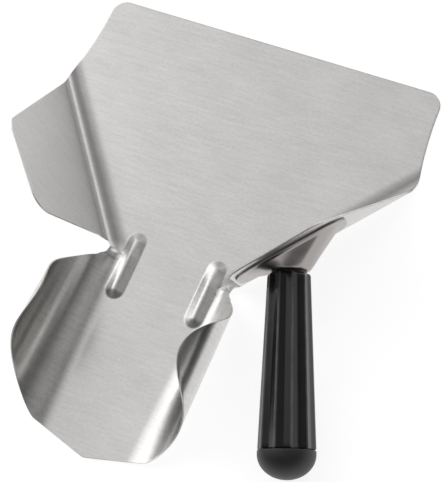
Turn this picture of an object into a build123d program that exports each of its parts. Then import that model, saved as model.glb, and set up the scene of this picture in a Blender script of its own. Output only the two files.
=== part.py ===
from build123d import *
import os
from math import cos, pi, radians, sin, tan

# Right-hand fry bagging scoop. Millimetres.
# Frame: the flat underside of the pan and of the chute floor is z = 0, +Z is the side that holds
# the food, +Y runs along the centre line towards the wide lip, +X is the handle side. The origin
# is on the centre line, level with the neck.

# ---- sheet -----------------------------------------------------------------------------------
SHEET = 0.8                     # thickness of the pressed sheet
LIP_HALF = 101.6                # half of the lip's width
LIP_Y = 131.7                   # the lip's straight edge
LIP_CORNER_R = 9.0
SIDE_BOW = 1.3                  # inward bow of the pan's side between lip and wing
SIDE_FOOT = 105.0               # where the side edge meets the bend line, measured along that line
SIDE_TRIM = 1.6                 # the edge is cut back this far where the bend ends

# ---- wings: each folds up along a straight line that runs from the neck out to the side --------
BEND_START = (39.75, 4.0)       # a point of the right bend line
BEND_HEADING = 39.5             # degrees from +Y
BEND_INNER_R = 7.2
WING_ANGLE = 72.7               # degrees from flat
WING_FRONT = (46.7, 65.0)       # front corner: distance along the bend line, height from the bend
WING_REAR = (-4.6, 57.3)        # rear corner
WING_FRONT_R = 9.0
WING_REAR_R = 12.0

# ---- neck ------------------------------------------------------------------------------------
NECK_Y = -8.5                   # centre line of the two notches
NOTCH_X = 41.3                  # centre of a notch's rounded end
NOTCH_R = 4.0
NECK_RISE = 7.0                 # the neck's sheet stays below this height
BEAD_X = 24.5                   # stiffening beads: distance from the centre line
BEAD_Y = (-28.0, 0.5)           # centres of a bead's rounded ends
BEAD_HALF_WIDTH = 4.3
BEAD_HEIGHT = 2.0

# ---- chute: flat floor, two walls rolled up as parts of cones ----------------------------------
CHUTE_Y = (-8.5, -124.0)        # the two ends of the rolled blank
FLOOR_HALF = (26.7, 22.7)       # half width of the flat floor at those ends
WALL_R = (22.6, 30.5)           # wall radius, middle of the sheet, at those ends
WALL_WRAP = 160.0               # degrees of roll before trimming
END_TIP_Y = -117.5              # tip of the shallow V at the chute's end
END_CORNER = (38.3, -107.3)     # a point of the V's right arm
END_TIP_R = 5.0

# ---- bracket: along the bend line, up the wing, out from the wing's outer face -----------------
BRACKET_SHEET = 1.2
FLANGE_ALONG = (-3.0, 59.5)
FLANGE_UP = (8.0, 51.0)
FLANGE_R = 14.0
HOUSING_ALONG = (2.0, 55.0)
HOUSING_UP = (13.0, 47.0)
HOUSING_R = 10.0
SEAT_ALONG = 22.2               # centre of the handle's seat
SEAT_UP = 30.4
SEAT_OUT = 9.2
SEAT_R = 10.6
HANDLE_DROP = 12.0              # degrees below level, seen along the bend line
HANDLE_TILT = 29.0              # degrees of lean towards the chute

# ---- handle ----------------------------------------------------------------------------------
COLLAR_R = 8.9
COLLAR_LENGTH = 1.2
GRIP_LENGTH = 88.5
GRIP_TOP_R = 11.0
GRIP_BASE_R = 14.8
FLUTES = 10
FLUTE_DEPTH = 0.75
CAP_R = 14.8
CAP_RIM = 2.0                   # straight rim of the dome
CAP_HEIGHT = 14.6
CAP_SPIGOT_R = 6.0
CAP_SPIGOT = 8.0
SCREW_R = 2.5
SCREW_LENGTH = 24.0
SCREW_HEAD_R = 4.6
SCREW_HEAD = 2.8
WASHER_R = 5.5
WASHER = 1.0
LOCK_R = 4.5
LOCK = 1.1
INSERT_R = 4.2
INSERT_LENGTH = 22.0
BIG = 400.0

os.makedirs("parts", exist_ok=True)

# ---- directions of the right wing --------------------------------------------------------------
heading = radians(BEND_HEADING)
fold = radians(WING_ANGLE)
along = Vector(sin(heading), cos(heading), 0)
outward = Vector(cos(heading), -sin(heading), 0)
upward = Vector(0, 0, 1)
wing_up = outward * cos(fold) + upward * sin(fold)
wing_out = outward * sin(fold) - upward * cos(fold)
bend_outer_r = BEND_INNER_R + SHEET
bend_origin = Vector(BEND_START[0], BEND_START[1], 0)
side_foot = bend_origin + along * SIDE_FOOT
neck_foot = bend_origin + along * ((NECK_Y - BEND_START[1]) / cos(heading))
# foot of the wing's outer face, where the bend ends
wing_foot = bend_origin + outward * (bend_outer_r * sin(fold)) + upward * (bend_outer_r * (1 - cos(fold)))
wing_plane = Plane(origin=wing_foot, x_dir=along, z_dir=wing_out)
wing_up_sign = 1.0 if wing_plane.y_dir.dot(wing_up) > 0 else -1.0


def on_wing(a, h):
    """A point of a sketch on the wing: a along the bend line, h up the wing."""
    return (a, h * wing_up_sign)


def rounded(points, radii):
    """A closed polygon face with some of its corners rounded: {index: radius}."""
    face = make_face(Polyline(*points, close=True))
    for index, radius in radii.items():
        corner = Vector(points[index][0], points[index][1], 0)
        vertex = face.vertices().sort_by_distance(corner)[0]
        face = fillet(vertex, radius)
    return face


def mirrored(solid):
    return mirror(solid, about=Plane.YZ)


# ---- pan and wings -----------------------------------------------------------------------------
def pan_floor():
    lip_end = Vector(LIP_HALF, LIP_Y, 0)
    side_mid = (lip_end + side_foot) / 2 - Vector(SIDE_BOW, 0, 0)
    edges = [
        Line((0, LIP_Y), lip_end),
        ThreePointArc(lip_end, side_mid, side_foot),
        Line(side_foot, neck_foot),
        Line(neck_foot, (0, NECK_Y)),
        Line((0, NECK_Y), (0, LIP_Y)),
    ]
    face = make_face(edges)
    corner = face.vertices().sort_by_distance(lip_end)[0]
    half = extrude(fillet(corner, LIP_CORNER_R), SHEET)
    return half + mirrored(half)


def wing_strip():
    """Bend and wing as one long strip, before it is cut to its outline."""
    section = Plane(origin=bend_origin, x_dir=outward, z_dir=-along)
    reach = 90.0

    def at(radius, angle, extra=0.0):
        return (radius * sin(angle) + extra * cos(fold), bend_outer_r - radius * cos(angle) + extra * sin(fold))

    edges = [
        ThreePointArc(at(bend_outer_r, 0), at(bend_outer_r, fold / 2), at(bend_outer_r, fold)),
        Line(at(bend_outer_r, fold), at(bend_outer_r, fold, reach)),
        Line(at(bend_outer_r, fold, reach), at(BEND_INNER_R, fold, reach)),
        Line(at(BEND_INNER_R, fold, reach), at(BEND_INNER_R, fold)),
        ThreePointArc(at(BEND_INNER_R, fold), at(BEND_INNER_R, fold / 2), at(BEND_INNER_R, 0)),
        Line(at(BEND_INNER_R, 0), at(bend_outer_r, 0)),
    ]
    return extrude(section * make_face(edges), 200, both=True)


def wing():
    bend_drop = (BEND_INNER_R + SHEET / 2) * sin(fold)
    bend_length = (BEND_INNER_R + SHEET / 2) * fold
    slope = (WING_FRONT[0] - SIDE_FOOT) / (WING_FRONT[1] + bend_length)
    notch_h = -1.3
    points = [
        on_wing(SIDE_FOOT, -bend_drop - 0.6),
        on_wing(SIDE_FOOT + slope * bend_length - SIDE_TRIM, 0),
        on_wing(*WING_FRONT),
        on_wing(*WING_REAR),
        on_wing(WING_REAR[0], notch_h),
        on_wing(-30, notch_h),
        on_wing(-30, -bend_drop - 0.6),
    ]
    outline = rounded(points, {2: WING_FRONT_R, 3: WING_REAR_R})
    cutter = extrude(wing_plane * outline, 60, both=True)
    neck_end = Pos(0, NECK_Y - BIG / 2, 0) * Box(BIG, BIG, 2 * NECK_RISE)
    return (wing_strip() & cutter) - neck_end


# ---- chute ---------------------------------------------------------------------------------------
def chute_floor():
    points = [
        (FLOOR_HALF[0], CHUTE_Y[0]),
        (FLOOR_HALF[1], CHUTE_Y[1]),
        (-FLOOR_HALF[1], CHUTE_Y[1]),
        (-FLOOR_HALF[0], CHUTE_Y[0]),
    ]
    return extrude(make_face(Polyline(*points, close=True)), SHEET)


def wall_section(y, floor_half, radius):
    outer = radius + SHEET / 2
    inner = radius - SHEET / 2
    wrap = radians(WALL_WRAP)

    def at(r, angle):
        return Vector(floor_half + r * sin(angle), y, outer - r * cos(angle))

    edges = [
        ThreePointArc(at(outer, 0), at(outer, wrap / 2), at(outer, wrap)),
        Line(at(outer, wrap), at(inner, wrap)),
        ThreePointArc(at(inner, wrap), at(inner, wrap / 2), at(inner, 0)),
        Line(at(inner, 0), at(outer, 0)),
    ]
    return make_face(edges)


def chute_wall():
    sections = [wall_section(y, f, r) for y, f, r in zip(CHUTE_Y, FLOOR_HALF, WALL_R)]
    return loft(sections, ruled=True)


def wall_outline():
    """What is left of the walls, seen from the side (y, z): front edge, crest, long run down."""
    crest = Spline(
        (-13.2, 4.6), (-22.8, 16.5), (-35.0, 35.5), (-50.0, 44.7), (-66.0, 42.6),
        (-78.0, 30.8), (-90.0, 16.9), (-99.8, 8.4), (-108.9, 2.4),
    )
    edges = [
        crest,
        Line((-108.9, 2.4), (-125.0, 2.4)),
        Line((-125.0, 2.4), (-125.0, -5.0)),
        Line((-125.0, -5.0), (-8.0, -5.0)),
        Line((-8.0, -5.0), (-8.0, 4.6)),
        Line((-8.0, 4.6), (-13.2, 4.6)),
    ]
    side = Plane(origin=(0, 0, 0), x_dir=(0, 1, 0), z_dir=(1, 0, 0))
    return extrude(side * make_face(edges), 120, both=True)


def end_outline():
    """The shallow V of the chute's end, seen from above."""
    slope = (END_CORNER[1] - END_TIP_Y) / END_CORNER[0]
    arm = 90.0
    points = [
        (0, END_TIP_Y), (arm, END_TIP_Y + slope * arm), (arm, 0),
        (-arm, 0), (-arm, END_TIP_Y + slope * arm),
    ]
    return extrude(rounded(points, {0: END_TIP_R}), 60, both=True)


def chute():
    wall = chute_wall()
    blank = chute_floor() + wall + mirrored(wall)
    return blank & wall_outline() & end_outline()


# ---- beads and notches ---------------------------------------------------------------------------
def capsule(radius, centre_z):
    front = Pos(BEAD_X, BEAD_Y[1], centre_z)
    rear = Pos(BEAD_X, BEAD_Y[0], centre_z)
    middle = Pos(BEAD_X, sum(BEAD_Y) / 2, centre_z)
    lengthwise = Rot(90, 0, 0)
    length = BEAD_Y[1] - BEAD_Y[0]
    ends = front * lengthwise * Sphere(radius) + rear * lengthwise * Sphere(radius)
    return middle * lengthwise * Cylinder(radius, length) + ends


def beaded(sheet):
    radius = (BEAD_HALF_WIDTH ** 2 + BEAD_HEIGHT ** 2) / (2 * BEAD_HEIGHT)
    centre_z = SHEET + BEAD_HEIGHT - radius
    above = Pos(0, 0, BIG / 2 + SHEET / 2) * Box(BIG, BIG, BIG)
    hollow = capsule(radius - SHEET, centre_z)
    shell = (capsule(radius, centre_z) - hollow) & above
    return sheet - hollow - mirrored(hollow) + shell + mirrored(shell)


def scoop_sheet():
    right = wing()
    sheet = pan_floor() + right + mirrored(right) + chute()
    notch = Pos(NOTCH_X, NECK_Y, 0) * Cylinder(NOTCH_R, 30)
    sheet = sheet - notch - mirrored(notch)
    return beaded(sheet)


# ---- handle frame --------------------------------------------------------------------------------
drop = radians(HANDLE_DROP)
tilt = radians(HANDLE_TILT)
handle_out = outward * cos(drop) - upward * sin(drop)
handle_dir = handle_out * cos(tilt) - along * sin(tilt)
handle_side = handle_dir.cross(along).normalized()
seat_centre = wing_foot + along * SEAT_ALONG + wing_up * SEAT_UP + wing_out * SEAT_OUT


def handle_plane(distance):
    """Plane square to the handle, at a distance beyond the bracket's seat."""
    return Plane(origin=seat_centre + handle_dir * distance, x_dir=handle_side, z_dir=handle_dir)


def rod(start, length, radius, end_radius=None):
    """A round piece on the handle's axis, optionally tapered."""
    face = handle_plane(start) * Circle(radius)
    if end_radius is None:
        return extrude(face, length)
    return loft([face, handle_plane(start + length) * Circle(end_radius)])


# ---- bracket -------------------------------------------------------------------------------------
def wing_rectangle(along_range, up_range, radius, out):
    width = along_range[1] - along_range[0]
    height = up_range[1] - up_range[0]
    centre = on_wing(sum(along_range) / 2, sum(up_range) / 2)
    return wing_plane.offset(out) * Pos(*centre) * RectangleRounded(width, height, radius)


def shrunk(limits, amount):
    return (limits[0] + amount, limits[1] - amount)


def handle_bracket():
    flange = extrude(wing_rectangle(FLANGE_ALONG, FLANGE_UP, FLANGE_R, 0), BRACKET_SHEET)
    outer = loft([
        wing_rectangle(HOUSING_ALONG, HOUSING_UP, HOUSING_R, BRACKET_SHEET / 2),
        handle_plane(0) * Circle(SEAT_R),
    ])
    wall = BRACKET_SHEET * 1.1
    inner = loft([
        wing_rectangle(shrunk(HOUSING_ALONG, wall), shrunk(HOUSING_UP, wall), HOUSING_R - wall, -0.2),
        handle_plane(-BRACKET_SHEET) * Circle(SEAT_R - wall),
    ])
    hole = rod(-6, 12, SCREW_R + 0.2)
    return flange + outer - inner - hole


# ---- handle pieces -------------------------------------------------------------------------------
def fluted_face(distance, radius):
    """Ten shallow hollows between rounded ridges."""
    step = 2 * pi / FLUTES
    edges = []
    for i in range(FLUTES):
        a0 = i * step
        a1 = (i + 1) * step
        mid = (a0 + a1) / 2
        hollow = radius * cos(step / 2) - FLUTE_DEPTH * radius / GRIP_BASE_R
        edges.append(ThreePointArc(
            (radius * cos(a0), radius * sin(a0)),
            (hollow * cos(mid), hollow * sin(mid)),
            (radius * cos(a1), radius * sin(a1)),
        ))
    return handle_plane(distance) * make_face(edges)


def handle_grip():
    start = COLLAR_LENGTH
    end = start + GRIP_LENGTH
    body = loft([fluted_face(start, GRIP_TOP_R), fluted_face(end, GRIP_BASE_R)], ruled=True)
    insert_hole = rod(start - 1, INSERT_LENGTH + 1, INSERT_R)
    core = rod(start, INSERT_LENGTH + 6, SCREW_R + 0.4)
    spigot_hole = rod(end - CAP_SPIGOT - 1, CAP_SPIGOT + 2, CAP_SPIGOT_R)
    return body - insert_hole - core - spigot_hole


def handle_end_cap():
    start = COLLAR_LENGTH + GRIP_LENGTH
    rim = rod(start, CAP_RIM, CAP_R)
    dome_h = CAP_HEIGHT - CAP_RIM
    profile = [
        Line((0, 0), (CAP_R, 0)),
        EllipticalCenterArc((0, 0), CAP_R, dome_h, start_angle=0, arc_size=90),
        Line((0, dome_h), (0, 0)),
    ]
    rim_centre = handle_plane(start + CAP_RIM).origin
    lengthwise = Plane(origin=rim_centre, x_dir=handle_side, z_dir=handle_side.cross(handle_dir))
    axis = Axis(handle_plane(0).origin, handle_dir)
    dome = revolve(lengthwise * make_face(profile), axis)
    spigot = rod(start - CAP_SPIGOT, CAP_SPIGOT, CAP_SPIGOT_R)
    return rim + dome + spigot


def collar_washer():
    return rod(0, COLLAR_LENGTH, COLLAR_R) - rod(-1, COLLAR_LENGTH + 2, SCREW_R + 0.2)


def flat_washer():
    start = -BRACKET_SHEET - WASHER
    return rod(start, WASHER, WASHER_R) - rod(start - 1, WASHER + 2, SCREW_R + 0.2)


def lock_washer():
    start = -BRACKET_SHEET - WASHER - LOCK
    ring = rod(start, LOCK, LOCK_R) - rod(start - 1, LOCK + 2, SCREW_R + 0.2)
    plane = handle_plane(start + LOCK / 2)
    split = plane * Pos(LOCK_R, 0, 0) * Box(LOCK_R * 2, 0.6, LOCK * 2)
    return ring - split


def handle_screw():
    head_end = -BRACKET_SHEET - WASHER - LOCK
    head = rod(head_end - SCREW_HEAD, SCREW_HEAD, SCREW_HEAD_R)
    shank = rod(head_end, SCREW_LENGTH, SCREW_R)
    face = handle_plane(head_end - SCREW_HEAD)
    recess = face * Box(1.0, 5.0, 2.4) + face * Box(5.0, 1.0, 2.4)
    return head + shank - recess


def threaded_insert():
    start = COLLAR_LENGTH
    return rod(start, INSERT_LENGTH, INSERT_R) - rod(start - 1, INSERT_LENGTH + 2, SCREW_R)


pieces = {
    "scoop_sheet": scoop_sheet(),
    "handle_bracket": handle_bracket(),
    "collar_washer": collar_washer(),
    "flat_washer": flat_washer(),
    "lock_washer": lock_washer(),
    "handle_screw": handle_screw(),
    "threaded_insert": threaded_insert(),
    "handle_grip": handle_grip(),
    "handle_end_cap": handle_end_cap(),
}
for name, piece in pieces.items():
    export_step(piece, "parts/" + name + ".step")
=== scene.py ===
import math

import bmesh
import bpy
import numpy as np
from mathutils import Matrix, Vector


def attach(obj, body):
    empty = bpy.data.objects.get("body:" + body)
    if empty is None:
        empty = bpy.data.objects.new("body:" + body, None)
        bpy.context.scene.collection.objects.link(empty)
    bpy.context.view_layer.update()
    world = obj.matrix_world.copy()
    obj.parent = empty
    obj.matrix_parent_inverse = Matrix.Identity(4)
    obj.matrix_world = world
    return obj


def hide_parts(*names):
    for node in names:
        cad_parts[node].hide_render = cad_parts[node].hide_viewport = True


# Right-hand fry bagging scoop. Shapes are written in millimetres in the part's own frame (z = 0 is
# the flat underside, +Y the wide lip, +X the handle side), and turned into metres as the meshes
# are made.

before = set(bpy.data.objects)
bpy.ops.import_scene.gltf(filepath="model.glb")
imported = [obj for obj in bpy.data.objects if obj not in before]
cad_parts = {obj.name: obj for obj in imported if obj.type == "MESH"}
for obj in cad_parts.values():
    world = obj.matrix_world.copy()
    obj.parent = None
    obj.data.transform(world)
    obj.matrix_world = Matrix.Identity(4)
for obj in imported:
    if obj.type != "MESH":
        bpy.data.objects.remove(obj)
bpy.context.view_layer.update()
MM = 0.001

# ---- sheet dimensions ----------------------------------------------------------------------------
SHEET = 0.8
MID = SHEET / 2  # the middle of the sheet, which all surfaces below describe
LIP_HALF = 101.6
LIP_Y = 131.7
LIP_CORNER = 9.0
SIDE_BOW = 1.3  # how far the pan's side bows inwards
SIDE_FOOT = 105.0  # length of the bend line, from its start to the pan's side
SIDE_TRIM = 2.6  # how much sooner the wing's edge leaves the bend
SIDE_FOOT_R = 22.0
BEND_START = (39.75, 4.0)
HEADING = math.radians(39.5)  # the bend line's turn from +Y
FOLD = math.radians(72.7)  # the wing's rise from flat
BEND_R = 7.6
WING_FRONT = (46.7, 65.0)  # the wing's two free corners: along the bend line, and up from it
WING_REAR = (-4.6, 57.3)
WING_FRONT_R = 9.0
WING_REAR_R = 12.0
NECK_Y = -8.5  # the line across the neck where pan and chute meet
NOTCH = (41.3, 4.0)  # centre's x and radius
NOTCH_LEAD = (0.1, 2.4)  # the short straight from the notch to the wing's rear edge
NOTCH_LEAD_R = 2.0
NOTCH_WING_TURN = 96  # degrees of the notch's circle on the wing's side, and on the wall's
NOTCH_WALL_TURN = 68
BEAD_X = 24.5
BEAD_ENDS = (-28.0, 0.5)
BEAD_HALF = 4.2
BEAD_SLOPE = 0.5
BEAD_TOP = 1.3  # rounding of a bead's top, and of its foot
BEAD_FOOT = 0.22
BEAD_FADE = (BEAD_HALF + 0.3, BEAD_HALF + 2.2)  # where the last of the foot dies out
BEAD_LOSS = 0.4  # share of its height that a bead loses over BEAD_LOSS_Y, towards the lip
BEAD_LOSS_Y = (-10, 1)
BEAD_FLOOR_Z = 12  # the beads are only on what is lower than this
CHUTE_ENDS = (-8.5, -124.0)  # between these, floor and wall radius change evenly
FLOOR_HALF = (26.7, 22.7)
WALL_R = (22.6, 30.5)
CREST = (  # the wall's free edge: y and height
    (-13.2, 4.6), (-22.8, 16.5), (-35.0, 35.5), (-50.0, 44.7), (-66.0, 42.6),
    (-78.0, 30.8), (-90.0, 16.9), (-99.8, 8.4), (-108.4, 2.6),
)
TIP_Y = -117.5
TIP_SLOPE = (117.5 - 107.3) / 38.3
TIP_ROUND = 0.6  # rounds the point of the V
DISH = 0.4  # how far the chute's floor is dished, and from where to where it grows
DISH_Y = (5, 100)
NECK_BLEND_Y = -24  # the pan's bend turns into the chute's wall between here and NECK_Y,
NECK_BLEND_X = (37.6, 44)  # and the difference dies out across here

# ---- mesh density, and zones of the sheet's finish, painted light and painted shade --------------
NECK_STEPS = 10
NOTCH_STEPS = 14
WING_ROWS = 168
WING_COLUMNS = 52
WING_CROWDING = 1.3  # above 1, the wing's columns crowd towards the bend
ROW_SHARES = (0.38, 0.66)  # shares of the wing's rows, and how far along the bend they come
ROW_PLACES = (0.088, 0.26, 0.60)
PAN_COLUMNS = 76
PAN_BEND_SHARE = 0.64  # how much of the pan's length the bend line takes up
SIDE_ROWS = 60
SIDE_STEPS = 30
LIP_STEPS = 25
CHUTE_ROWS = 180
TIP_STEPS = 60
FOLD_ZONE = (-1.5, 2.5)  # past the end of the bend, where the wing's matt finish and its painted light begin
BEND_ZONE_PAN = 6  # how far the bend's duller finish and painted shade reach into the pan, and their share there
BEND_SHARE_PAN = 0.8
BEND_ZONE_WING = (3.0, 6.0)
BEND_NECK_FADE = 8
NECK_SMOOTH = (4.2, 28.5, 14)  # half height of the smoothed strip, its inner x, and passes
EDGE_ROUND = 0.24

# ---- bracket and handle dimensions ---------------------------------------------------------------
FLANGE = ((-3.0, 59.5), (8.0, 51.0), 14.0)  # along the wing, up it, and corner radius
HOUSING = ((2.0, 55.0), (13.0, 47.0), 10.0)
BRACKET_SHEET = 1.2
BRACKET_LIFT = 0.05  # clear of the wing's face
BRACKET_ROUND = 0.3
BRACKET_POINTS = 144
ROOT_FLARE = 1.6  # width of the rounding at the housing's foot
ROUND_SHARE = 0.12  # share of the housing's height in each of its two roundings
SEAT = (22.2, 30.4, 9.2)  # along the wing, up it, and out from it
SEAT_R = 10.6
SEAT_SHOULDER = 1.4
SCREW_HOLE_R = 2.7
HANDLE_DROP = math.radians(12.0)
HANDLE_TILT = math.radians(29.0)
COLLAR = 1.2
GRIP_LENGTH = 88.5
GRIP_R = (11.0, 14.8)
FLUTES = 10
FLUTE_STEP = 2 * math.pi / FLUTES
FLUTE_TURN = math.radians(18)
FLUTE_SOFT = math.radians(2.0)  # rounding of a ridge
FLUTE_HOLLOW = 0.75  # how much deeper than flat a flute is at the fat end
FLUTE_SHAPE = 0.9
RIDGE_RUB_AND_HIGHLIGHT = (0.015, 0.085)  # radians from a ridge, where its rubbing and its painted highlight fade out
GRIP_POINTS = FLUTES * 28
GRIP_FRONT_ROUND = 1.5
GRIP_REAR_ROUND = 1.2
FRONT_FACE = (1.5, 0.8)  # the front face's rim: drawn in by, and share of the fluting
FRONT_EDGE = (1.3, 0.86)  # and the same where the front edge's rounding starts
REAR_EDGE = (0.9, 0.55)  # the rear edge's rounding: along the handle, and drawn in by
EVEN_R = 0.95  # the plain circle that unfluted rings come near, as a share of the radius
GRIP_FRONT_HOLE = (0.0, 4.4)  # how deep each end face's inner rim lies, and its radius
GRIP_REAR_HOLE = (0.3, 6.4)
CAP_RIM = 2.0
CAP_HEIGHT = 14.6
CAP_R = 14.8
CAP_EDGE = 0.5
CAP_FACE = 0.9  # how far the cap's front face is drawn in
CAP_NECK = (0.2, 6.2)  # how deep its inner rim lies in the grip, and its radius
CAP_TIP = (0.002, 0.05)  # the dome's top is a flat that small: below the full height, and radius
CAP_POINTS = 144

along = np.array([math.sin(HEADING), math.cos(HEADING), 0.0])
outward = np.array([math.cos(HEADING), -math.sin(HEADING), 0.0])
upward = np.array([0.0, 0.0, 1.0])
bend_origin = np.array([BEND_START[0], BEND_START[1], 0.0])
BEND_LENGTH = BEND_R * FOLD
NECK_ALONG = (NECK_Y - BEND_START[1]) / math.cos(HEADING)
neck_foot = bend_origin + along * NECK_ALONG


# ---- small helpers -------------------------------------------------------------------------------
def smooth(x, lo, hi):
    """0 below lo, 1 above hi, and a smooth step between them."""
    t = np.clip((np.asarray(x, float) - lo) / (hi - lo), 0, 1)
    return t * t * (3 - 2 * t)


def lengths(p):
    """Length along a polyline up to each of its points."""
    return np.concatenate([[0], np.cumsum(np.linalg.norm(np.diff(p, axis=0), axis=1))])


def resample(points, count):
    """count points spread evenly by length along a polyline."""
    p = np.asarray(points, float)
    d = lengths(p)
    t = np.linspace(0, 1, count)
    return np.stack([np.interp(t * d[-1], d, p[:, k]) for k in range(p.shape[1])], 1)


def spline(points, per_span=14):
    """A natural cubic through the points, sampled."""
    p = np.asarray(points, float)
    n = len(p)
    h = np.linalg.norm(np.diff(p, axis=0), axis=1)
    a = np.eye(n)
    b = np.zeros_like(p)
    for i in range(1, n - 1):
        a[i, i - 1:i + 2] = h[i - 1], 2 * (h[i - 1] + h[i]), h[i]
        b[i] = 6 * ((p[i + 1] - p[i]) / h[i] - (p[i] - p[i - 1]) / h[i - 1])
    m = np.linalg.solve(a, b)
    out = []
    for i in range(n - 1):
        for t in np.linspace(0, h[i], per_span, endpoint=False):
            s = h[i] - t
            out.append(
                (m[i] * s ** 3 + m[i + 1] * t ** 3) / (6 * h[i])
                + (p[i] / h[i] - m[i] * h[i] / 6) * s
                + (p[i + 1] / h[i] - m[i + 1] * h[i] / 6) * t
            )
    out.append(p[-1])
    return np.array(out)


def fillet(points, index, radius, steps=10):
    """The same polyline with the corner at index rounded."""
    p = [np.asarray(q, float) for q in points]
    a, c, b = p[index - 1], p[index], p[index + 1]
    u = (a - c) / np.linalg.norm(a - c)
    v = (b - c) / np.linalg.norm(b - c)
    half = math.acos(float(np.clip(u @ v, -1, 1))) / 2
    reach = radius / math.tan(half)
    centre = c + (u + v) / np.linalg.norm(u + v) * radius / math.sin(half)
    start, end = c + u * reach - centre, c + v * reach - centre
    angle = math.acos(float(np.clip(start @ end / radius ** 2, -1, 1)))
    arc = [
        centre + (start * math.sin((1 - t) * angle) + end * math.sin(t * angle)) / math.sin(angle)
        for t in np.linspace(0, 1, steps)
    ]
    return p[:index] + arc + p[index + 1:]


# ---- the sheet's surface -------------------------------------------------------------------------
def bead_rise(x, y):
    """How far the two beads of the neck stand above the sheet around them."""
    gap = y - np.clip(y, *BEAD_ENDS)
    d = np.hypot(np.abs(x) - BEAD_X, gap)
    ramp = (BEAD_HALF + BEAD_TOP - np.hypot(d, BEAD_TOP)) * BEAD_SLOPE
    rise = (np.hypot(ramp, BEAD_FOOT) + ramp) / 2
    return rise * (1 - smooth(d, *BEAD_FADE)) * (1 - BEAD_LOSS * smooth(y, *BEAD_LOSS_Y))


def bend_height(d):
    """Height of the pan's bend at a plan distance d out from its line, short of upright."""
    d = np.clip(d, 0, BEND_R * 0.999)
    return BEND_R - np.sqrt(BEND_R ** 2 - d ** 2)


def on_wing(a, h):
    """Middle of the sheet, a along the bend line and h unrolled from it. Right-hand side."""
    a, h = np.asarray(a, float), np.asarray(h, float)
    angle = np.clip(h, 0, BEND_LENGTH) / BEND_R
    extra = np.clip(h - BEND_LENGTH, 0, None)
    d = BEND_R * np.sin(angle) + extra * math.cos(FOLD)
    z = MID + BEND_R * (1 - np.cos(angle)) + extra * math.sin(FOLD)
    return bend_origin + a[..., None] * along + d[..., None] * outward + z[..., None] * upward


def wall_at(y):
    """Half the chute's floor and its wall's radius at y."""
    t = (y - CHUTE_ENDS[0]) / (CHUTE_ENDS[1] - CHUTE_ENDS[0])
    floor_half = FLOOR_HALF[0] + t * (FLOOR_HALF[1] - FLOOR_HALF[0])
    return floor_half, WALL_R[0] + t * (WALL_R[1] - WALL_R[0])


def unroll(x, floor_half, radius):
    """Unrolled distance from the centre line of a point of the chute at x."""
    turn = np.arcsin(np.clip((x - floor_half) / radius, 0, 1))
    return np.where(x > floor_half, floor_half + radius * turn, x)


def on_chute(w, y):
    """Middle of the sheet, w unrolled from the centre line. Right-hand side."""
    floor_half, radius = wall_at(y)
    angle = np.clip(w - floor_half, 0, None) / radius
    x = np.minimum(w, floor_half) + radius * np.sin(angle)
    z = radius * (1 - np.cos(angle))
    near = np.minimum(x, NOTCH[0] - NOTCH[1])
    plan_d = np.clip(near - neck_foot[0], 0, None) * math.cos(HEADING)
    cone_angle = np.arcsin(np.clip((near - FLOOR_HALF[0]) / WALL_R[0], 0, 1))
    step = bend_height(plan_d) - WALL_R[0] * (1 - np.cos(cone_angle))
    step = step * smooth(y, NECK_BLEND_Y, NECK_Y) * (1 - smooth(x, *NECK_BLEND_X))
    share = np.clip(np.abs(w) / floor_half, 0, 2)
    bowl = np.where(share < 1, share ** 2, 4 * share - share ** 2 - 2)
    dish = DISH * bowl * smooth(-y, *DISH_Y)
    return np.stack([x, y, MID + z + step + dish], -1)


def arc_at(y, z):
    """Unrolled distance of a point of the wall at that height."""
    floor_half, radius = wall_at(y)
    return floor_half + radius * np.arccos(np.clip(1 - (z - MID) / radius, -1, 1))


# ---- outlines in the flat ------------------------------------------------------------------------
def notch_arc(turn, side, count):
    """Points of the notch's circle from its inner end, on the wing's side (1) or wall's (-1)."""
    return [
        (NOTCH[0] - NOTCH[1] * math.cos(t), NECK_Y + side * NOTCH[1] * math.sin(t))
        for t in np.radians(np.linspace(0, turn, count))
    ]


def wing_edge():
    """The right wing's free edge (along, unrolled) in three runs: neck, notch, and to the foot."""
    neck_end = NOTCH[0] - NOTCH[1] - neck_foot[0]
    neck = [(neck_foot[0] + x, NECK_Y) for x in np.linspace(0, neck_end, NECK_STEPS + 1)]
    notch = notch_arc(NOTCH_WING_TURN, 1, 18)

    def flat(points):
        p = np.array(points) - np.array(BEND_START)
        d = p @ outward[:2]
        return np.stack([p @ along[:2], BEND_R * np.arcsin(np.clip(d / BEND_R, 0, 1))], 1)

    lean = (WING_FRONT[0] - SIDE_FOOT) / (WING_FRONT[1] + BEND_LENGTH)
    notch_end = flat(notch[-1:])[0]
    corners = [
        notch_end,
        (WING_REAR[0] - NOTCH_LEAD[0], notch_end[1] + NOTCH_LEAD[1]),
        (WING_REAR[0], BEND_LENGTH + WING_REAR[1]),
        (WING_FRONT[0], BEND_LENGTH + WING_FRONT[1]),
        (SIDE_FOOT + lean * BEND_LENGTH - SIDE_TRIM, BEND_LENGTH),
        (SIDE_FOOT - SIDE_TRIM, BEND_LENGTH * 0.30),
        (SIDE_FOOT, 0.0),
    ]
    for index, radius, steps in (
        (4, SIDE_FOOT_R, 8), (3, WING_FRONT_R, 14), (2, WING_REAR_R, 14), (1, NOTCH_LEAD_R, 6)
    ):
        corners = fillet(corners, index, radius, steps)
    return flat(neck), flat(notch), np.array(corners)


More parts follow.
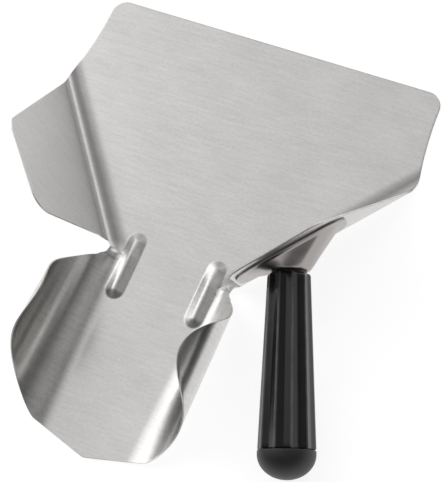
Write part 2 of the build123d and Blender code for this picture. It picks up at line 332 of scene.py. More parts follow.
def side_edge():
    """The pan's side from the bend line's end to the middle of the lip's corner, and the lip."""
    foot = (bend_origin + along * SIDE_FOOT)[:2]
    lip_end = np.array([LIP_HALF, LIP_Y])
    t = np.linspace(0, 1, SIDE_STEPS)[:, None]
    side = foot + (lip_end - foot) * t - np.array([SIDE_BOW, 0]) * 4 * t * (1 - t)
    keep = [q for q in side if np.linalg.norm(q - lip_end) > LIP_CORNER + 1]
    line = fillet(keep + [lip_end, np.array([0, LIP_Y])], len(keep), LIP_CORNER, LIP_STEPS)
    middle = len(keep) + LIP_STEPS // 2
    return np.array(line[:middle + 1]), np.array(line[middle:])[::-1]


def chute_edge():
    """The wall's free edge (unrolled, y) from the notch to the V, and the V's arm from its tip."""
    notch = notch_arc(NOTCH_WALL_TURN, -1, 12)
    first = [(unroll(x, *wall_at(y)), y) for x, y in notch]
    wall = [(arc_at(y, z), y) for y, z in spline(CREST)]
    floor_half, radius = wall_at(CREST[-1][0])
    end_x = floor_half + radius * math.sin((wall[-1][0] - floor_half) / radius)
    arm = []
    for x in np.linspace(0, end_x, TIP_STEPS):
        y = TIP_Y + TIP_SLOPE * math.sqrt(x * x + TIP_ROUND)
        arm.append((unroll(x, *wall_at(y)), y))
    return np.array(first + wall[1:-1] + [arm[-1]]), np.array(arm)


def coons(bottom, top, left, right, columns, rows):
    """Points between four edges. bottom and top run over columns, left and right over rows."""
    s = columns[None, :, None]
    t = rows[:, None, None]
    corner = (1 - t) * ((1 - s) * bottom[0] + s * bottom[-1]) + t * ((1 - s) * top[0] + s * top[-1])
    across = (1 - t) * bottom[None] + t * top[None]
    return across + (1 - s) * left[:, None] + s * right[:, None] - corner


def wing_patch():
    """The right wing's grid, its flat pattern, its unrolled heights, its neck and row places."""
    neck, notch, rest = wing_edge()
    rest = resample(rest, WING_ROWS + 1 - NECK_STEPS - NOTCH_STEPS)
    edge = np.concatenate([neck, resample(notch, NOTCH_STEPS + 1)[1:], rest[1:]])
    count = len(edge)
    marks = [0, NECK_STEPS + NOTCH_STEPS, *(count * share for share in ROW_SHARES), count - 1]
    steps = np.interp(np.arange(count), marks, [0, *ROW_PLACES, 1])
    a = NECK_ALONG + (SIDE_FOOT - NECK_ALONG) * steps
    q = np.linspace(0, 1, WING_COLUMNS + 1) ** WING_CROWDING
    wa = a[:, None] + (edge[:, 0] - a)[:, None] * q[None]
    wh = edge[:, 1][:, None] * q[None]
    flat = (bend_origin + wa[..., None] * along + wh[..., None] * outward)[..., :2]
    return on_wing(wa, wh), flat, wh, neck, steps


def pan_patch(steps):
    """The right half of the pan: its grid, its flat pattern, and its columns at the neck."""
    side, lip = side_edge()
    side = resample(side, SIDE_ROWS + 1)
    a = NECK_ALONG + (SIDE_FOOT - NECK_ALONG) * steps
    bend = (bend_origin + a[:, None] * along)[:, :2]
    right = np.concatenate([bend, side[1:]])
    columns = np.linspace(0, 1, PAN_COLUMNS + 1)
    bottom = np.stack([columns * neck_foot[0], np.full_like(columns, NECK_Y)], 1)
    top = resample(lip, PAN_COLUMNS + 1)
    side_rows = PAN_BEND_SHARE + (1 - PAN_BEND_SHARE) * np.linspace(0, 1, SIDE_ROWS + 1)[1:]
    rows = np.concatenate([steps * PAN_BEND_SHARE, side_rows])
    left = np.stack([np.zeros_like(rows), NECK_Y + (LIP_Y - NECK_Y) * rows], 1)
    flat = coons(bottom, top, left, right, columns, rows)
    rise = bead_rise(flat[..., 0], flat[..., 1])
    return np.concatenate([flat, (MID + rise)[..., None]], -1), flat, bottom[:, 0]


def chute_patch(neck, inner):
    """The right half of the chute, with columns that meet the pan's and the wing's at the neck."""
    wall, arm = chute_edge()
    neck_x = (bend_origin + neck[:, 0:1] * along)[:, 0]
    neck_x = neck_x + BEND_R * np.sin(neck[:, 1] / BEND_R) * outward[0]
    across = unroll(np.concatenate([inner, neck_x[1:]]), FLOOR_HALF[0], WALL_R[0])
    fraction = across / across[-1]
    right = resample(wall, CHUTE_ROWS + 1)
    rows = np.linspace(0, 1, CHUTE_ROWS + 1)
    bottom = np.stack([across, np.full_like(across, NECK_Y)], 1)
    d = lengths(arm)
    top = np.stack([np.interp(fraction * d[-1], d, arm[:, k]) for k in range(2)], 1)
    left = np.stack([np.zeros_like(rows), NECK_Y + (arm[0, 1] - NECK_Y) * rows], 1)
    flat = coons(bottom, top, left, right, fraction, rows)
    chute = on_chute(flat[..., 0], flat[..., 1])
    low = chute[..., 2] < BEAD_FLOOR_Z
    chute[..., 2] += bead_rise(chute[..., 0], chute[..., 1]) * low
    return chute, flat


def build_patches():
    """The right half as grids of rows x columns: each with its points in space, its flat pattern,
    how far it has the wing's matt finish and painted light and the bend's duller finish and painted
    shade, and whether its faces are turned over."""
    wing, wing_flat, wh, neck, steps = wing_patch()
    pan, pan_flat, inner = pan_patch(steps)
    chute, chute_flat = chute_patch(neck, inner)
    folded = smooth(wh, *(BEND_LENGTH + z for z in FOLD_ZONE))
    inside = (np.array(BEND_START) - pan_flat) @ outward[:2]
    fade = smooth(pan_flat[..., 1], NECK_Y, NECK_Y + BEND_NECK_FADE)
    near_bend = (1 - smooth(inside, 0, BEND_ZONE_PAN)) * fade * BEND_SHARE_PAN
    on_bend = (1 - smooth(wh, *BEND_ZONE_WING)) * fade[:len(wing), -1:]
    none = np.zeros(chute.shape[:2])
    return [
        (pan, pan_flat, 0 * near_bend, near_bend, False),
        (wing, wing_flat, folded, on_bend, True),
        (chute, chute_flat, none, none, True),
    ]


def make_object(name, points, faces, uv=None):
    """A mesh object from points in millimetres, linked to the scene."""
    mesh = bpy.data.meshes.new(name)
    mesh.from_pydata((np.asarray(points) * MM).tolist(), [], faces)
    if uv is not None:
        layer = mesh.uv_layers.new(name="Pattern")
        loops = np.zeros(len(mesh.loops), int)
        mesh.loops.foreach_get("vertex_index", loops)
        layer.data.foreach_set("uv", (np.asarray(uv)[loops] * MM).astype(np.float32).ravel())
    obj = bpy.data.objects.new(name, mesh)
    bpy.context.scene.collection.objects.link(obj)
    return obj


def add_values(obj, name, values):
    """Stores a number for each vertex, which a material reads by name."""
    layer = obj.data.attributes.new(name, "FLOAT", "POINT")
    layer.data.foreach_set("value", values.astype(np.float32))


def finish_mesh(obj, bm):
    """Puts the worked mesh back, smooth shaded."""
    bm.to_mesh(obj.data)
    bm.free()
    obj.data.polygons.foreach_set("use_smooth", [True] * len(obj.data.polygons))


def round_edges(obj, width, least_angle):
    """Rounds the edges that turn by more than the angle, in degrees."""
    edge = obj.modifiers.new("edge", "BEVEL")
    edge.width = width * MM
    edge.segments = 2
    edge.limit_method = "ANGLE"
    edge.angle_limit = math.radians(least_angle)


def grid_faces(rows, columns, start, flip):
    """The quads of a grid whose points are numbered from start."""
    i, j = np.meshgrid(np.arange(rows - 1), np.arange(columns - 1), indexing="ij")
    a = start + i * columns + j
    quad = np.stack([a, a + 1, a + columns + 1, a + columns], -1).reshape(-1, 4)
    return quad[:, ::-1] if flip else quad


def scoop_sheet():
    """Both halves of the sheet joined into one skin, given its thickness and rounded edges."""
    points, uvs, folds, bends, faces = [], [], [], [], []
    start = 0
    for grid, flat, folded, bent, flip in build_patches():
        rows, columns = grid.shape[:2]
        for side in (1, -1):
            mirror = np.array([side, 1, 1])
            points.append((grid * mirror).reshape(-1, 3))
            uvs.append((flat * mirror[:2]).reshape(-1, 2))
            folds.append(folded.ravel())
            bends.append(bent.ravel())
            faces.append(grid_faces(rows, columns, start, flip != (side < 0)))
            start += rows * columns
    skin = np.concatenate(faces).tolist()
    obj = make_object("scoop_body", np.concatenate(points), skin, np.concatenate(uvs))
    add_values(obj, "fold", np.concatenate(folds))
    add_values(obj, "bend", np.concatenate(bends))
    bm = bmesh.new()
    bm.from_mesh(obj.data)
    bmesh.ops.remove_doubles(bm, verts=bm.verts, dist=0.01 * MM)
    bmesh.ops.dissolve_degenerate(bm, dist=0.005 * MM, edges=bm.edges)
    bmesh.ops.recalc_face_normals(bm, faces=bm.faces)
    middle = Vector((0, 60 * MM, MID * MM))
    probe = min(bm.faces, key=lambda f: (f.calc_center_median() - middle).length)
    if probe.normal.z < 0:
        bmesh.ops.reverse_faces(bm, faces=bm.faces)
    half, inner, passes = NECK_SMOOTH
    crease = [
        v for v in bm.verts
        if abs(v.co.y - NECK_Y * MM) < half * MM and abs(v.co.x) > inner * MM
        and not v.is_boundary
    ]
    for _ in range(passes):
        bmesh.ops.smooth_vert(
            bm, verts=crease, factor=0.5, use_axis_x=False, use_axis_y=False, use_axis_z=True
        )
    finish_mesh(obj, bm)
    thick = obj.modifiers.new("thickness", "SOLIDIFY")
    thick.thickness = SHEET * MM
    thick.offset = 0
    thick.use_even_offset = True
    round_edges(obj, EDGE_ROUND, 55)
    return obj


# ---- bracket and handle --------------------------------------------------------------------------
wing_up = outward * math.cos(FOLD) + upward * math.sin(FOLD)
wing_out = outward * math.sin(FOLD) - upward * math.cos(FOLD)
outer_r = BEND_R + MID
wing_foot = bend_origin + outer_r * (math.sin(FOLD) * outward + (1 - math.cos(FOLD)) * upward)
handle_out = outward * math.cos(HANDLE_DROP) - upward * math.sin(HANDLE_DROP)
handle_dir = handle_out * math.cos(HANDLE_TILT) - along * math.sin(HANDLE_TILT)
handle_side = np.cross(handle_dir, along)
handle_side /= np.linalg.norm(handle_side)
handle_cross = np.cross(handle_dir, handle_side)
seat = wing_foot + along * SEAT[0] + wing_up * SEAT[1] + wing_out * SEAT[2]


def wing_point(a, h, out):
    """A point a along the wing's outer face, h up it from the bend and out from it."""
    return (
        wing_foot + np.multiply.outer(a, along) + np.multiply.outer(h, wing_up)
        + np.multiply.outer(out, wing_out)
    )


def handle_point(distance, radius, angle):
    """A point round the handle's axis, at a distance from the bracket's seat."""
    angle = np.asarray(angle, float)
    r = np.broadcast_to(radius, angle.shape)
    return (
        seat + distance * handle_dir
        + (r * np.cos(angle))[:, None] * handle_side
        + (r * np.sin(angle))[:, None] * handle_cross
    )


def turns(count):
    """Angles evenly round a circle."""
    return np.linspace(0, 2 * math.pi, count, endpoint=False)


def rings_to_object(name, rings, closed=True, ridge_rub_and_highlight=None):
    """Skins a list of equal rings of points into a tube, which goes back to its first ring if it is
    closed and gets flat ends if not. Optional values, one for each point of a ring, are stored on
    the mesh;
    on the grip they place the ridges' rubbing and their painted highlight."""
    n = len(rings[0])
    last = (len(rings) - 1) * n
    follow = [(i + 1) % n for i in range(n)]
    faces = [
        (k + i, k + j, k + n + j, k + n + i)
        for k in range(0, last, n) for i, j in enumerate(follow)
    ]
    if closed:
        faces += [(last + i, last + j, j, i) for i, j in enumerate(follow)]
    else:
        faces += [tuple(range(n))[::-1], tuple(range(last, last + n))]
    obj = make_object(name, np.concatenate(rings), faces)
    if ridge_rub_and_highlight is not None:
        add_values(obj, "ridge_rub_and_highlight", np.tile(ridge_rub_and_highlight, len(rings)))
    bm = bmesh.new()
    bm.from_mesh(obj.data)
    bmesh.ops.remove_doubles(bm, verts=bm.verts, dist=0.002 * MM)
    bmesh.ops.recalc_face_normals(bm, faces=bm.faces)
    finish_mesh(obj, bm)
    return obj


def rounded_outline(along_range, up_range, radius, angles):
    """Points of a rounded rectangle in the directions of the given angles, from its centre."""
    ca, cu = sum(along_range) / 2, sum(up_range) / 2
    ha, hu = (along_range[1] - along_range[0]) / 2, (up_range[1] - up_range[0]) / 2
    out = []
    for t in angles:
        c, s = math.cos(t), math.sin(t)
        lo, hi = 0.0, 100.0
        for _ in range(40):  # halving, until the outline lies between lo and hi
            m = (lo + hi) / 2
            x, y = abs(c) * m - (ha - radius), abs(s) * m - (hu - radius)
            d = math.hypot(max(x, 0), max(y, 0)) + min(max(x, y), 0) - radius
            lo, hi = (m, hi) if d < 0 else (lo, m)
        out.append((ca + c * lo, cu + s * lo))
    return np.array(out)


def curve(start, corner, end, count):
    """Rings that round a corner from start to end, both included."""
    return [
        (1 - t) ** 2 * start + 2 * t * (1 - t) * corner + t * t * end
        for t in np.linspace(0, 1, count)
    ]


def bracket():
    """Pressed bracket: a flat flange on the wing and a hollow housing that narrows to the seat."""
    angles = turns(BRACKET_POINTS)
    rim = rounded_outline(*FLANGE, angles)
    base = rounded_outline(*HOUSING, angles)
    (a_low, a_high), (h_low, h_high), _ = HOUSING
    local = base - np.array([(a_low + a_high) / 2, (h_low + h_high) / 2])
    away = local / np.linalg.norm(local, axis=1)[:, None]
    seat_a = along - handle_dir * (along @ handle_dir)
    seat_a /= np.linalg.norm(seat_a)
    seat_h = np.cross(handle_dir, seat_a)
    if seat_h @ wing_up < 0:
        seat_h = -seat_h
    turn = np.arctan2(local[:, 1] / (h_high - h_low), local[:, 0] / (a_high - a_low))
    circle = np.cos(turn)[:, None] * seat_a + np.sin(turn)[:, None] * seat_h

    def flat_ring(shape, out):
        return wing_point(shape[:, 0], shape[:, 1], np.full(BRACKET_POINTS, out))

    seat_ring = seat + circle * SEAT_R
    seat_back = seat - handle_dir * BRACKET_SHEET
    foot = flat_ring(base, BRACKET_SHEET)
    slope = seat_ring - foot
    rings = [flat_ring(rim, out) for out in (BRACKET_LIFT, BRACKET_SHEET / 2, BRACKET_SHEET)]
    start = flat_ring(base + away * ROOT_FLARE, BRACKET_SHEET)
    rings += curve(start, foot, foot + slope * ROUND_SHARE, 9)
    rings += [foot + slope * t for t in np.linspace(ROUND_SHARE, 1 - ROUND_SHARE, 12)[1:]]
    shoulder = seat + circle * (SEAT_R - SEAT_SHOULDER)
    rings += curve(foot + slope * (1 - ROUND_SHARE), seat_ring, shoulder, 7)[1:]
    rings += [seat + circle * SCREW_HOLE_R, seat_back + circle * SCREW_HOLE_R]
    rings.append(seat_back + circle * (SEAT_R - BRACKET_SHEET))
    rings.append(flat_ring(base - away * BRACKET_SHEET, BRACKET_LIFT))
    obj = rings_to_object("bracket_pressing", rings)
    round_edges(obj, BRACKET_ROUND, 50)
    return obj


def off_ridge(angle):
    """The angle from the nearest ridge of the grip."""
    return np.abs((angle - FLUTE_TURN + FLUTE_STEP / 2) % FLUTE_STEP - FLUTE_STEP / 2)


def flute_radius(radius, angle):
    """Radius of the grip's outline: rounded ridges with a shallow hollow between each two."""
    off = np.sqrt(off_ridge(angle) ** 2 + FLUTE_SOFT ** 2) - FLUTE_SOFT
    depth = radius * (1 - math.cos(FLUTE_STEP / 2)) + FLUTE_HOLLOW * radius / GRIP_R[1]
    return radius - depth * np.sin(np.pi * np.clip(off / FLUTE_STEP, 0, 0.5)) ** FLUTE_SHAPE


def grip():
    """Fluted grip: a rounded front edge, the long taper, a rounded rear edge, and a bore inside."""
    angles = turns(GRIP_POINTS)

    def ring(distance, shrink=0.0, fluted=1.0):
        """A ring of the outline, drawn in by shrink and partly evened out to a plain circle."""
        radius = GRIP_R[0] + (GRIP_R[1] - GRIP_R[0]) * distance / GRIP_LENGTH
        outline = flute_radius(radius, angles)
        plain = radius * EVEN_R
        return handle_point(
            COLLAR + distance, outline * fluted + plain * (1 - fluted) - shrink, angles
        )

    front, rear = GRIP_FRONT_ROUND, GRIP_LENGTH - GRIP_REAR_ROUND
    rings = [handle_point(COLLAR + GRIP_FRONT_HOLE[0], GRIP_FRONT_HOLE[1], angles)]
    rings.append(ring(0.0, *FRONT_FACE))
    for t in np.linspace(0, math.pi / 2, 7):
        fluted = FRONT_EDGE[1] + (1 - FRONT_EDGE[1]) * t / (math.pi / 2)
        rings.append(ring(front * (1 - math.cos(t)), FRONT_EDGE[0] * (1 - math.sin(t)), fluted))
    rings += [ring(distance) for distance in np.linspace(front, rear, 46)[1:]]
    for t in np.linspace(0, math.pi / 2, 5)[1:]:
        rings.append(ring(rear + REAR_EDGE[0] * math.sin(t), REAR_EDGE[1] * (1 - math.cos(t))))
    inner_rim = COLLAR + GRIP_LENGTH - GRIP_REAR_HOLE[0]
    rings.append(handle_point(inner_rim, GRIP_REAR_HOLE[1], angles))
    # values along the ridges, which the grip's material uses for rubbing and a painted highlight
    return rings_to_object("grip_body", rings, ridge_rub_and_highlight=1 - smooth(off_ridge(angles), *RIDGE_RUB_AND_HIGHLIGHT))


def end_cap():
    """Domed end plug: a rounded front edge, a short straight rim and the dome."""
    angles = turns(CAP_POINTS)
    start = COLLAR + GRIP_LENGTH
    rings = [handle_point(start - CAP_NECK[0], CAP_NECK[1], angles)]
    rings.append(handle_point(start, CAP_R - CAP_FACE, angles))
    for t in np.linspace(0, math.pi / 2, 5):
        rounding = start + CAP_EDGE * (1 - math.cos(t))
        rings.append(handle_point(rounding, CAP_R - CAP_EDGE * (1 - math.sin(t)), angles))
    rings.append(handle_point(start + CAP_RIM, CAP_R, angles))
    dome = CAP_HEIGHT - CAP_RIM
    for t in np.linspace(0, math.pi / 2, 26)[1:-1]:
        height = start + CAP_RIM + dome * math.sin(t)
        rings.append(handle_point(height, CAP_R * math.cos(t), angles))
    rings.append(handle_point(start + CAP_HEIGHT - CAP_TIP[0], CAP_TIP[1], angles))
    return rings_to_object("end_cap_dome", rings, closed=False)


# ---- materials -----------------------------------------------------------------------------------
# The sheet's noises run in its flat pattern, in metres: scale along the grain, then across it.
GRAIN = (120, 2200, 1)
STREAK = (40, 520, 1)
SPECK = (520, 640, 1)
CLOUD = (38, 55, 1)
SHEET_ROUGH = 0.32
WING_ROUGH = 0.12  # added on the inside of the wings
BEND_ROUGH = 0.22  # added along the bends
INSIDE_FACING = (0.05, 0.25)  # how far a wing's normal points up where it counts as the inside


def new_material(name, colour, roughness, metallic=0.0, **sockets):
    """A principled material, with what it takes to build its nodes."""
    material = bpy.data.materials.new(name)
    material.use_nodes = True
    shader = material.node_tree.nodes["Principled BSDF"]
    shader.inputs["Base Color"].default_value = (*colour, 1)
    shader.inputs["Roughness"].default_value = roughness
    shader.inputs["Metallic"].default_value = metallic
    for socket, value in sockets.items():
        shader.inputs[socket.replace("_", " ")].default_value = value
    return material, material.node_tree.nodes, material.node_tree.links, shader


def noise_chain(nodes, links, source, scale, detail):
    """A noise texture over stretched coordinates. Returns its factor socket."""
    stretch = nodes.new("ShaderNodeMapping")
    stretch.inputs["Scale"].default_value = scale
    links.new(source, stretch.inputs["Vector"])
    noise = nodes.new("ShaderNodeTexNoise")
    noise.inputs["Scale"].default_value = 1.0
    noise.inputs["Detail"].default_value = detail
    noise.inputs["Roughness"].default_value = 0.55
    links.new(stretch.outputs["Vector"], noise.inputs["Vector"])
    return noise.outputs["Fac"]


def stored(nodes, name):
    """The values that a mesh carries under that name."""
    node = nodes.new("ShaderNodeAttribute")
    node.attribute_name = name
    return node.outputs["Fac"]


def spread(nodes, links, factor, low, high):
    """Turns a noise factor into a number between low and high."""
    node = nodes.new("ShaderNodeMapRange")
    node.inputs["From Min"].default_value = 0.3
    node.inputs["From Max"].default_value = 0.7
    node.inputs["To Min"].default_value = low
    node.inputs["To Max"].default_value = high
    links.new(factor, node.inputs["Value"])
    return node.outputs["Result"]


def add(nodes, links, a, b, operation="ADD"):
    """A sum, or another operation, of a socket and a second socket or a number."""
    node = nodes.new("ShaderNodeMath")
    node.operation = operation
    links.new(a, node.inputs[0])
    if isinstance(b, float):
        node.inputs[1].default_value = b
    else:
        links.new(b, node.inputs[1])
    return node.outputs["Value"]


def ramp_colour(nodes, links, factor, dark, light):
    """A colour between dark and light by a noise factor."""
    ramp = nodes.new("ShaderNodeValToRGB")
    for end, colour, position in ((0, dark, 0.3), (1, light, 0.7)):
        ramp.color_ramp.elements[end].color = (*colour, 1)
        ramp.color_ramp.elements[end].position = position
    links.new(factor, ramp.inputs["Fac"])
    return ramp.outputs["Color"]


def tint(nodes, links, factor, dark, light, shader):
    links.new(ramp_colour(nodes, links, factor, dark, light), shader.inputs["Base Color"])


def second_colour(nodes, links, mask, shader):
    """Makes room for a colour over the base colour where the mask is 1. Returns its socket."""
    under = shader.inputs["Base Color"].links[0].from_socket
    mix = nodes.new("ShaderNodeMix")
    mix.data_type = "RGBA"
    links.new(mask, mix.inputs["Factor"])
    links.new(under, mix.inputs["A"])
    links.new(mix.outputs["Result"], shader.inputs["Base Color"])
    return mix.inputs["B"]


def lay_over(nodes, links, mask, factor, dark, light, shader):
    """Lays a second colour range over the base colour where the mask is 1."""
    over = ramp_colour(nodes, links, factor, dark, light)
    links.new(over, second_colour(nodes, links, mask, shader))


def bump(nodes, links, height, strength, distance, shader):
    node = nodes.new("ShaderNodeBump")
    node.inputs["Strength"].default_value = strength
    node.inputs["Distance"].default_value = distance
    links.new(height, node.inputs["Height"])
    links.new(node.outputs["Normal"], shader.inputs["Normal"])


def brushed_steel(name):
    """Sheet steel with a fine grain that runs across the scoop, following the flat pattern."""
    material, nodes, links, shader = new_material(
        name, (0.66, 0.65, 0.64), SHEET_ROUGH, 1.0, Anisotropic=0.78, Anisotropic_Rotation=0.25
    )
    pattern = nodes.new("ShaderNodeUVMap")
    pattern.uv_map = "Pattern"
    tangent = nodes.new("ShaderNodeTangent")
    tangent.direction_type = "UV_MAP"
    tangent.uv_map = "Pattern"
    links.new(tangent.outputs["Tangent"], shader.inputs["Tangent"])
    grain, streak, speck, cloud = (
        noise_chain(nodes, links, pattern.outputs["UV"], scale, detail)
        for scale, detail in ((GRAIN, 2), (STREAK, 3), (SPECK, 2), (CLOUD, 3))
    )
    height = add(nodes, links, grain, streak)
    fine = add(nodes, links, add(nodes, links, height, speck), 1 / 3, "MULTIPLY")
    uneven = spread(nodes, links, fine, -0.03, 0.03)
    wear_and_sheen = add(nodes, links, uneven, spread(nodes, links, cloud, -0.02, 0.02))

    # the wings' inner faces are a little more matt and get painted light that makes them lighter;
    # the bends are duller and get painted shade that makes them darker
    facing = nodes.new("ShaderNodeSeparateXYZ")
    place = nodes.new("ShaderNodeNewGeometry")
    links.new(place.outputs["True Normal"], facing.inputs["Vector"])
    inner = nodes.new("ShaderNodeMapRange")
    inner.inputs["From Min"].default_value = INSIDE_FACING[0]
    inner.inputs["From Max"].default_value = INSIDE_FACING[1]
    links.new(facing.outputs["Z"], inner.inputs["Value"])
    wing_matt_and_painted_light = add(nodes, links, stored(nodes, "fold"), inner.outputs["Result"], "MULTIPLY")
    bend = stored(nodes, "bend")
    softer = add(
        nodes, links, add(nodes, links, wing_matt_and_painted_light, WING_ROUGH, "MULTIPLY"),
        add(nodes, links, bend, BEND_ROUGH, "MULTIPLY"),
    )
    sheet = add(nodes, links, wear_and_sheen, SHEET_ROUGH)
    links.new(add(nodes, links, sheet, softer), shader.inputs["Roughness"])
    tint(nodes, links, fine, (0.53, 0.522, 0.51), (0.75, 0.742, 0.73), shader)
    # painted light: a lighter colour on the wings' upward-facing inner faces
    lay_over(nodes, links, wing_matt_and_painted_light, fine, (0.74, 0.732, 0.725), (0.93, 0.92, 0.91), shader)
    # painted shade: a darker colour along the bends
    lay_over(nodes, links, bend, fine, (0.40, 0.388, 0.386), (0.53, 0.513, 0.51), shader)
    bump(nodes, links, height, 0.25, 0.004 * MM, shader)
    return material


def satin_steel(name, colour, roughness):
    """Metal with an even fine grain and slight clouding."""
    material, nodes, links, shader = new_material(name, colour, roughness, 1.0)
    coords = nodes.new("ShaderNodeTexCoord").outputs["Object"]
    grain = noise_chain(nodes, links, coords, (900, 900, 900), 3)
    cloud = noise_chain(nodes, links, coords, (90, 90, 90), 3)
    uneven = spread(nodes, links, cloud, -0.05, 0.06)
    links.new(add(nodes, links, uneven, roughness), shader.inputs["Roughness"])
    tint(nodes, links, cloud, tuple(c * 0.9 for c in colour), colour, shader)
    bump(nodes, links, add(nodes, links, grain, cloud), 0.2, 0.04 * MM, shader)
    return material


def plastic(name, dark, light, roughness, grain_scale, bump_strength, wear_and_sheen=None, **sockets):
    """Moulded plastic. An optional second colour is painted along the ridges as a highlight, where
    the mesh's stored ridge values say so, and those places are made rougher too.
    """
    material, nodes, links, shader = new_material(name, dark, roughness, 0.0, **sockets)
    coords = nodes.new("ShaderNodeTexCoord").outputs["Object"]
    grain = noise_chain(nodes, links, coords, (grain_scale,) * 3, 2)
    cloud = noise_chain(nodes, links, coords, (70, 70, 70), 4)
    rough = add(nodes, links, spread(nodes, links, cloud, -0.03, 0.05), roughness)
    tint(nodes, links, cloud, dark, light, shader)
    if wear_and_sheen is not None:
        # painted highlight: a lighter colour on the grip's ridges by the stored ridge values,
        # broken up by clouding; also rougher there
        patchy = spread(nodes, links, cloud, 0.6, 1.0)
        rub_and_highlight = add(nodes, links, stored(nodes, "ridge_rub_and_highlight"), patchy, "MULTIPLY")
        rough = add(nodes, links, rough, add(nodes, links, rub_and_highlight, 0.2, "MULTIPLY"))
        second_colour(nodes, links, rub_and_highlight, shader).default_value = (*wear_and_sheen, 1)
    links.new(rough, shader.inputs["Roughness"])
    bump(nodes, links, grain, bump_strength, 0.04 * MM, shader)
    return material


# ---- pieces --------------------------------------------------------------------------------------
STEEL = brushed_steel("brushed_sheet_steel")
BRACKET_STEEL = satin_steel("pressed_steel", (0.40, 0.375, 0.365), 0.32)
HARDWARE = satin_steel("zinc_hardware", (0.52, 0.53, 0.55), 0.3)
BRASS = satin_steel("insert_brass_finish", (0.72, 0.54, 0.28), 0.32)
# the grip's lighter grey along its ridges is a painted highlight
GRIP = plastic(
    "glossy_black_plastic", (0.006, 0.006, 0.007), (0.012, 0.012, 0.013), 0.19, 1500, 0.15,
    wear_and_sheen=(0.15, 0.15, 0.16), Specular_IOR_Level=0.55,
)
CAP = plastic(
    "satin_charcoal_plastic", (0.020, 0.020, 0.022), (0.034, 0.034, 0.036), 0.48, 2600, 0.5
)
COLLAR_BLACK = plastic(
    "black_collar_plastic", (0.006, 0.006, 0.006), (0.012, 0.012, 0.012), 0.4, 1500, 0.3
)


def put(obj, material, slot, *nodes):
    """Gives a piece its material and its body, and hides the CAD nodes it stands for. Its slot is
    not used.
    """
    obj.data.materials.clear()
    obj.data.materials.append(material)
    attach(obj, "root")
    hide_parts(*nodes)


put(scoop_sheet(), STEEL, "scoop_steel", "scoop_sheet")
put(bracket(), BRACKET_STEEL, "bracket_steel", "handle_bracket")
put(grip(), GRIP, "grip_plastic", "handle_grip")
put(end_cap(), CAP, "cap_plastic", "handle_end_cap")
for node, material in (
    ("collar_washer", COLLAR_BLACK), ("flat_washer", HARDWARE), ("lock_washer", HARDWARE),
    ("handle_screw", HARDWARE), ("threaded_insert", BRASS),
):
    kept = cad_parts[node]
    if not kept.material_slots:
        kept.data.materials.append(material)
    for slot in kept.material_slots:
        slot.material = material

# ---- floor, light and camera ---------------------------------------------------------------------
STAGE = 4000
STAGE_DROP = 0.2  # so that the floor and the sheet's underside don't share a plane
GLOW_REACH = (0.22, 1.4)  # metres from the middle of the floor, over which its glow fades
GLOW = (0.86, 0.5)

floor = make_object(
    "floor",
    [(x * STAGE, y * STAGE, -STAGE_DROP) for x, y in ((-1, -1), (1, -1), (1, 1), (-1, 1))],
    [(0, 1, 2, 3)],
)
floor_paint, floor_nodes, floor_links, floor_shader = new_material(
    "pale_floor", (0.35, 0.35, 0.35), 0.9
)
floor_shader.inputs["Specular IOR Level"].default_value = 0.0
floor_shader.inputs["Emission Color"].default_value = (1, 1, 1, 1)
floor_coords = floor_nodes.new("ShaderNodeTexCoord")
floor_reach = floor_nodes.new("ShaderNodeVectorMath")
floor_reach.operation = "LENGTH"
floor_links.new(floor_coords.outputs["Object"], floor_reach.inputs[0])
floor_fade = floor_nodes.new("ShaderNodeMapRange")
floor_fade.interpolation_type = "SMOOTHSTEP"
floor_fade.inputs["From Min"].default_value = GLOW_REACH[0]
floor_fade.inputs["From Max"].default_value = GLOW_REACH[1]
floor_fade.inputs["To Min"].default_value = GLOW[0]
floor_fade.inputs["To Max"].default_value = GLOW[1]
floor_links.new(floor_reach.outputs["Value"], floor_fade.inputs["Value"])
floor_links.new(floor_fade.outputs["Result"], floor_shader.inputs["Emission Strength"])
floor.data.materials.append(floor_paint)

world = bpy.data.worlds.new("studio")
bpy.context.scene.world = world
world.use_nodes = True
sky, wires = world.node_tree.nodes, world.node_tree.links
direction = sky.new("ShaderNodeTexCoord").outputs["Generated"]


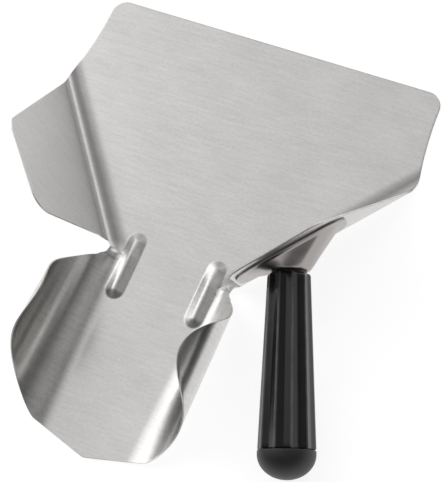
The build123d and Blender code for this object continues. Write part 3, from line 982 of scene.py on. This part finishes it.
def lobe(towards, inner, outer, strength):
    """A soft round patch of light, full within inner degrees and gone beyond outer degrees."""
    dot = sky.new("ShaderNodeVectorMath")
    dot.operation = "DOT_PRODUCT"
    wires.new(direction, dot.inputs[0])
    dot.inputs[1].default_value = Vector(towards).normalized()
    fade = sky.new("ShaderNodeMapRange")
    fade.interpolation_type = "SMOOTHSTEP"
    fade.inputs["From Min"].default_value = math.cos(math.radians(outer))
    fade.inputs["From Max"].default_value = math.cos(math.radians(inner))
    fade.inputs["To Max"].default_value = strength
    wires.new(dot.outputs["Value"], fade.inputs["Value"])
    return fade.outputs["Result"]


LOBES = (  # towards, inner and outer degrees, strength
    ((-0.44, 0.24, 0.865), 11, 33, 0.93),
    ((-0.78, 0.17, 0.60), 6, 28, 1.15),
    ((-0.94, 0.18, 0.30), 6, 30, 1.5),
    ((0.24, 0.80, 0.55), 10, 30, 1.55),
    ((0.45, 0.24, 0.86), 5, 30, 0.12),
)
BASE_LIGHT = 0.12
total = lobe(*LOBES[0])
for part in LOBES[1:]:
    total = add(sky, wires, total, lobe(*part))
total = add(sky, wires, total, BASE_LIGHT)
sky["Background"].inputs["Color"].default_value = (1, 1, 1, 1)
wires.new(total, sky["Background"].inputs["Strength"])

# The camera is at the photograph's viewing angle, from above and a little towards the handle.
CAMERA_PLACE = (0.380409, -0.209286, 0.859368)
CAMERA_RIGHT = (0.8751, 0.4087, -0.2589)
CAMERA_BACK = (0.3755, -0.2361, 0.8962)
CAMERA_LENS = 134.55

camera_data = bpy.data.cameras.new("camera")
camera = bpy.data.objects.new("camera", camera_data)
bpy.context.scene.collection.objects.link(camera)
camera_data.lens = CAMERA_LENS
camera_data.sensor_width = 36.0
camera_data.dof.use_dof = False
camera_data.clip_end = 20
right = Vector(CAMERA_RIGHT).normalized()
back = Vector(CAMERA_BACK).normalized()
up = back.cross(right).normalized()
right = up.cross(back)
turned = Matrix((right, up, back)).transposed().to_4x4()
camera.matrix_world = Matrix.Translation(CAMERA_PLACE) @ turned
bpy.context.scene.camera = camera
bpy.context.scene.view_settings.view_transform = "Standard"
